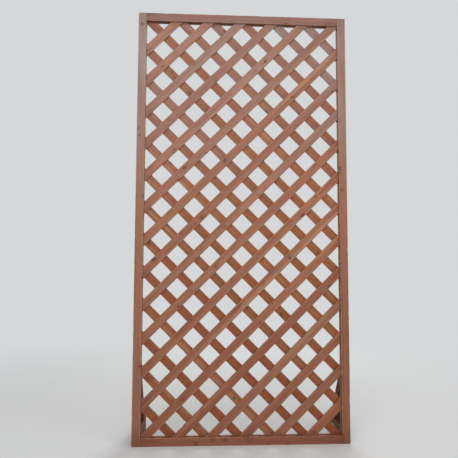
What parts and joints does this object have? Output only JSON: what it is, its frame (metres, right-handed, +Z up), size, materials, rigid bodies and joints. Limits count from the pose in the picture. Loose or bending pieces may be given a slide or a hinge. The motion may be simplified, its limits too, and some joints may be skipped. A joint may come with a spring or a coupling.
{
  "type": "wooden plant trellis panel",
  "caption": "Upright wooden trellis panel: a grooved frame round a diagonal lattice of crossed slats, with a foot and strut behind each stile, for climbing plants.",
  "frame": {"origin": "underside of the bottom rail, at mid width and in the middle of the frame's depth", "axes": "+Z up along the stiles, +X to the right seen from the front, +Y to the back, where the feet are"},
  "size_m": [0.89, 0.23, 1.8],
  "materials": {
    "frame_wood": "red-brown stained softwood, planed, straight grain with small knots",
    "front_slat_wood": "red-brown stained softwood, sawn and planed slats, slightly pink",
    "back_slat_wood": "red-brown stained softwood, sawn and planed slats, slightly orange",
    "support_wood": "red-brown stained softwood, a little darker and knottier",
    "dowel_wood": "plain turned hardwood",
    "staple_steel": "galvanised wire, dull",
    "screw_steel": "yellow zinc plated, dull"
  },
  "bodies": {
    "root": {"left_stile": "frame_wood", "right_stile": "frame_wood", "top_rail": "frame_wood", "bottom_rail": "frame_wood", "front_slat_01": "front_slat_wood", "front_slat_02": "front_slat_wood", "front_slat_03": "front_slat_wood", "front_slat_04": "front_slat_wood", "front_slat_05": "front_slat_wood", "front_slat_06": "front_slat_wood", "front_slat_07": "front_slat_wood", "front_slat_08": "front_slat_wood", "front_slat_09": "front_slat_wood", "front_slat_10": "front_slat_wood", "front_slat_11": "front_slat_wood", "front_slat_12": "front_slat_wood", "front_slat_13": "front_slat_wood", "front_slat_14": "front_slat_wood", "front_slat_15": "front_slat_wood", "front_slat_16": "front_slat_wood", "front_slat_17": "front_slat_wood", "front_slat_18": "front_slat_wood", "back_slat_01": "back_slat_wood", "back_slat_02": "back_slat_wood", "back_slat_03": "back_slat_wood", "back_slat_04": "back_slat_wood", "back_slat_05": "back_slat_wood", "back_slat_06": "back_slat_wood", "back_slat_07": "back_slat_wood", "back_slat_08": "back_slat_wood", "back_slat_09": "back_slat_wood", "back_slat_10": "back_slat_wood", "back_slat_11": "back_slat_wood", "back_slat_12": "back_slat_wood", "back_slat_13": "back_slat_wood", "back_slat_14": "back_slat_wood", "back_slat_15": "back_slat_wood", "back_slat_16": "back_slat_wood", "back_slat_17": "back_slat_wood", "back_slat_18": "back_slat_wood", "lattice_staples": "staple_steel", "corner_screws": "screw_steel", "left_foot": "support_wood", "right_foot": "support_wood", "left_strut": "support_wood", "right_strut": "support_wood", "foot_dowels": "dowel_wood", "strut_screws": "screw_steel"}
  },
  "joints": []
}
